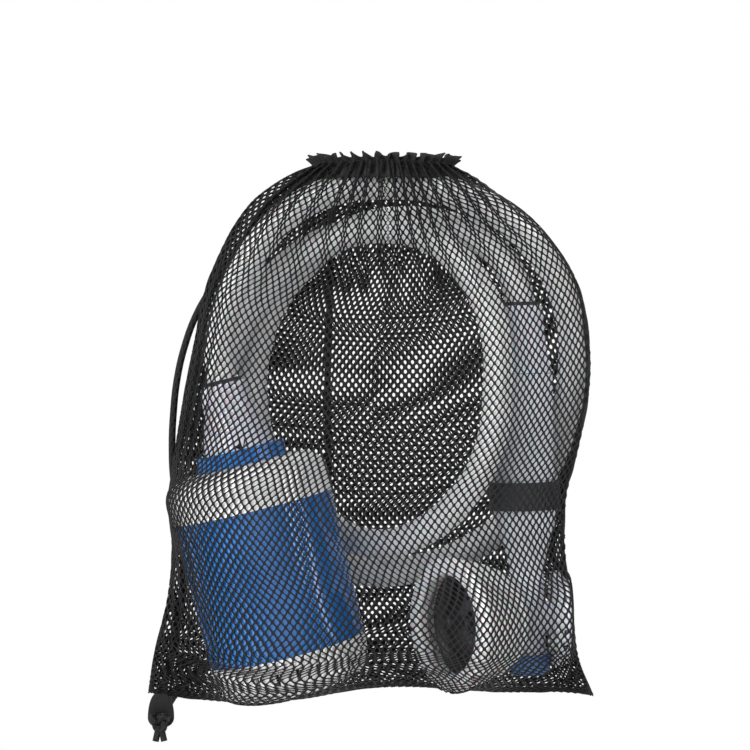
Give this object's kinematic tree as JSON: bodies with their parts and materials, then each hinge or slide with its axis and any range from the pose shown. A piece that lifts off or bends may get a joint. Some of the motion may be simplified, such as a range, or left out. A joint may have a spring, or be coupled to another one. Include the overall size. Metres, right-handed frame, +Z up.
{
  "type": "snorkel tube",
  "caption": "Float canister, coiled breathing hose and valved mouthpiece, stowed together in a drawcord net bag.",
  "frame": {"origin": "middle of the bag's gathered neck, where a hand or a hook holds it", "axes": "+Z up when the bag hangs, -Y towards the front of the bag, +X towards the mouthpiece side"},
  "size_m": [0.2313, 0.1138, 0.2932],
  "materials": {
    "blue_shell": "glossy moulded ABS",
    "white_cap": "satin moulded ABS",
    "blue_nut": "glossy moulded ABS",
    "inner_plastic": "plain moulding",
    "foam": "closed-cell foam",
    "seal_rubber": "soft matt rubber",
    "soft_cuff": "milky translucent silicone",
    "hose_white": "smooth soft hose",
    "valve_plastic": "milky polycarbonate",
    "band_rubber": "matt rubber",
    "mouth_silicone": "matt white silicone",
    "purge_blue": "soft blue plastic",
    "spring_wire": "stainless wire",
    "net": "knitted polyester mesh",
    "tape": "woven polyester tape",
    "cord": "braided cord"
  },
  "bodies": {
    "kit": {"float_shell": "blue_shell", "hose_end_cap": "white_cap", "intake_deck": "white_cap", "air_tube": "inner_plastic", "float_foam": "foam", "float_seals": "seal_rubber", "valve_seat": "seal_rubber", "float_cuff": "soft_cuff", "hose_rings": "seal_rubber", "hose": "hose_white", "mouth_cuff": "soft_cuff", "valve_body": "valve_plastic", "inhale_seat": "inner_plastic", "clamp_band": "band_rubber", "tee_housing": "valve_plastic", "exhaust_seat": "inner_plastic", "exhaust_cover": "white_cap", "purge_spring": "spring_wire", "cup_tie": "seal_rubber", "bag_front": "net", "bag_back": "net", "bag_seam_tape": "tape", "bag_hem": "tape", "corner_tab": "tape", "drawcord_left": "cord", "drawcord_rear": "cord", "drawcord_knot": "cord"},
    "intake_cap": {"intake_cap": "white_cap"},
    "splash_valve": {"valve_float": "inner_plastic"},
    "collar_nut": {"collar_nut": "blue_nut"},
    "inhale_flap": {"inhale_flap": "mouth_silicone"},
    "exhaust_flap": {"exhaust_flap": "mouth_silicone"},
    "purge_button": {"purge_button": "purge_blue"},
    "mouthpiece": {"mouth_cup": "mouth_silicone", "bite_piece": "mouth_silicone"}
  },
  "joints": [
    {"name": "intake_cap_twist", "type": "hinge", "parent": "kit", "child": "intake_cap", "pos_m": [-0.057, -0.008, -0.204], "axis": [-0.2368, 0, 0.9715], "range_deg": [0, 30]},
    {"name": "splash_valve_lift", "type": "slide", "parent": "intake_cap", "child": "splash_valve", "axis": [-0.2368, 0, 0.9715], "range_m": [0, 0.0085]},
    {"name": "collar_nut_turn", "type": "hinge", "parent": "kit", "child": "collar_nut", "pos_m": [-0.057, -0.008, -0.204], "axis": [-0.2368, 0, 0.9715], "range_deg": [0, 60]},
    {"name": "inhale_flap_open", "type": "slide", "parent": "kit", "child": "inhale_flap", "axis": [0.0262, 0, -0.9997], "range_m": [0, 0.002], "stiffness_N_per_m": 30, "springref_m": -0.0005},
    {"name": "exhaust_flap_open", "type": "slide", "parent": "kit", "child": "exhaust_flap", "axis": [1, 0, 0], "range_m": [0, 0.0012], "stiffness_N_per_m": 30, "springref_m": -0.0005},
    {"name": "purge_button_press", "type": "slide", "parent": "kit", "child": "purge_button", "axis": [-0.0262, 0, 0.9997], "range_m": [0, 0.002], "stiffness_N_per_m": 200, "springref_m": -0.001, "deforming": ["purge_spring"]},
    {"name": "mouthpiece_swivel", "type": "hinge", "parent": "kit", "child": "mouthpiece", "pos_m": [0.07212, 0.008, -0.22598], "axis": [-0.8387, -0.5446, 0], "range_deg": [-15, 15]}
  ]
}
